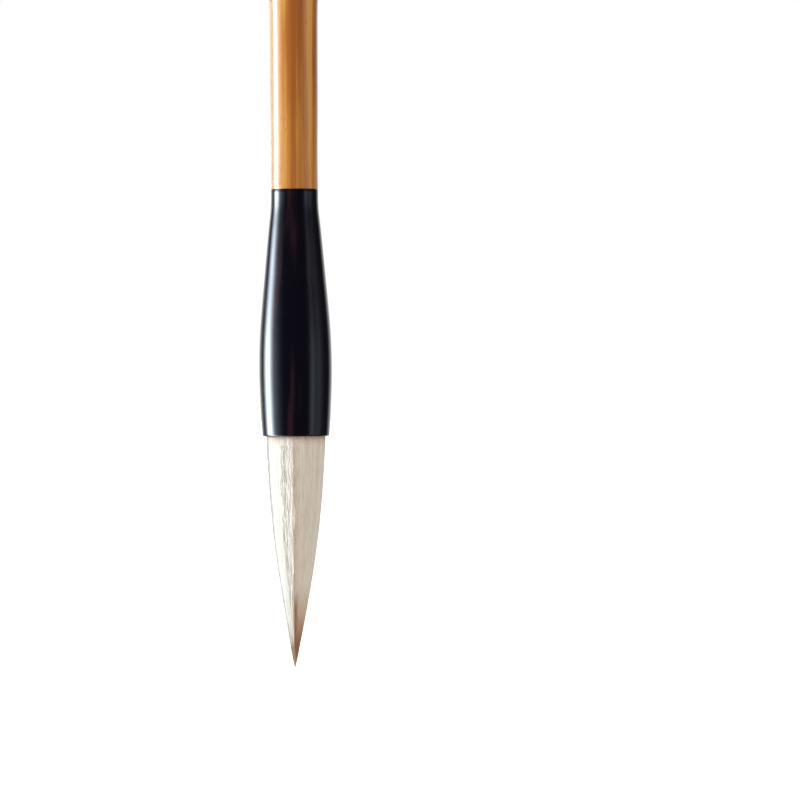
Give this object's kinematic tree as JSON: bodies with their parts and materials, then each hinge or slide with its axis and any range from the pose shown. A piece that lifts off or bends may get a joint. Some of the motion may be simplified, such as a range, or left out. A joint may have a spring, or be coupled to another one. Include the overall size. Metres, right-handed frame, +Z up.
{
  "type": "calligraphy brush",
  "caption": "Large writing brush: round bamboo shaft, bell-shaped horn ferrule and a long pointed tuft of white hair over a brown core that bends both ways and springs back.",
  "frame": {"origin": "middle of the end cap's flat end, at the mouth of the cord hole that the brush hangs from", "axes": "+Z up along the shaft from the tip of the hair to the end cap; +X to the right in the front view, which looks along +Y"},
  "size_m": [0.0162, 0.0162, 0.285],
  "materials": {
    "bamboo": "glossy lacquered bamboo with fine fibre streaks",
    "horn": "polished black horn",
    "coat_hair": "straight white goat hair, soft sheen",
    "belly_hair": "short cream goat hair",
    "core_hair": "stiff brown hair, soft sheen",
    "thread": "waxed cotton thread",
    "resin": "hard brown rosin",
    "adhesive": "set amber glue"
  },
  "bodies": {
    "handle": {"shaft": "bamboo", "ferrule": "horn", "end_cap": "horn", "adhesive_bed": "adhesive", "root_resin": "resin", "root_thread_lower": "thread", "root_thread_upper": "thread", "hair_core_root": "core_hair", "hair_belly_root": "belly_hair", "hair_coat_root": "coat_hair"},
    "tuft_1": {"hair_core_1": "core_hair", "hair_belly_1": "belly_hair", "hair_coat_1": "coat_hair"},
    "tuft_2": {"hair_core_2": "core_hair", "hair_belly_2": "belly_hair", "hair_coat_2": "coat_hair"},
    "tuft_3": {"hair_core_3": "core_hair", "hair_belly_3": "belly_hair", "hair_coat_3": "coat_hair"},
    "tuft_4": {"hair_core_4": "core_hair", "hair_coat_4": "coat_hair"},
    "tuft_5": {"hair_core_5": "core_hair", "hair_coat_5": "coat_hair"},
    "tuft_6": {"hair_core_6": "core_hair", "hair_coat_6": "coat_hair"},
    "tuft_7": {"hair_core_7": "core_hair", "hair_coat_7": "coat_hair"},
    "tuft_tip": {"hair_core_tip": "core_hair"}
  },
  "joints": [
    {"name": "sideways_bend_1", "type": "hinge", "parent": "handle", "child": "tuft_1", "pos_m": [0, 0, -0.238], "axis": [0, 1, 0], "range_deg": [-12, 12], "stiffness_Nm_per_rad": 0.05},
    {"name": "forward_bend_1", "type": "hinge", "parent": "tuft_1", "child": "tuft_2", "pos_m": [0, 0, -0.2434], "axis": [1, 0, 0], "range_deg": [-12, 12], "stiffness_Nm_per_rad": 0.05},
    {"name": "sideways_bend_2", "type": "hinge", "parent": "tuft_2", "child": "tuft_3", "pos_m": [0, 0, -0.2488], "axis": [0, 1, 0], "range_deg": [-13, 13]},
    {"name": "forward_bend_2", "type": "hinge", "parent": "tuft_3", "child": "tuft_4", "pos_m": [0, 0, -0.2542], "axis": [1, 0, 0], "range_deg": [-13, 13]},
    {"name": "sideways_bend_3", "type": "hinge", "parent": "tuft_4", "child": "tuft_5", "pos_m": [0, 0, -0.2596], "axis": [0, 1, 0], "range_deg": [-16, 16]},
    {"name": "forward_bend_3", "type": "hinge", "parent": "tuft_5", "child": "tuft_6", "pos_m": [0, 0, -0.265], "axis": [1, 0, 0], "range_deg": [-16, 16]},
    {"name": "sideways_bend_4", "type": "hinge", "parent": "tuft_6", "child": "tuft_7", "pos_m": [0, 0, -0.2704], "axis": [0, 1, 0], "range_deg": [-19, 19]},
    {"name": "forward_bend_4", "type": "hinge", "parent": "tuft_7", "child": "tuft_tip", "pos_m": [0, 0, -0.2758], "axis": [1, 0, 0], "range_deg": [-19, 19]}
  ],
  "couplings": [
    {"joint": "sideways_bend_2", "follows": "sideways_bend_1", "ratio": 1.0833},
    {"joint": "forward_bend_2", "follows": "forward_bend_1", "ratio": 1.0833},
    {"joint": "sideways_bend_3", "follows": "sideways_bend_1", "ratio": 1.3333},
    {"joint": "forward_bend_3", "follows": "forward_bend_1", "ratio": 1.3333},
    {"joint": "sideways_bend_4", "follows": "sideways_bend_1", "ratio": 1.5833},
    {"joint": "forward_bend_4", "follows": "forward_bend_1", "ratio": 1.5833}
  ]
}
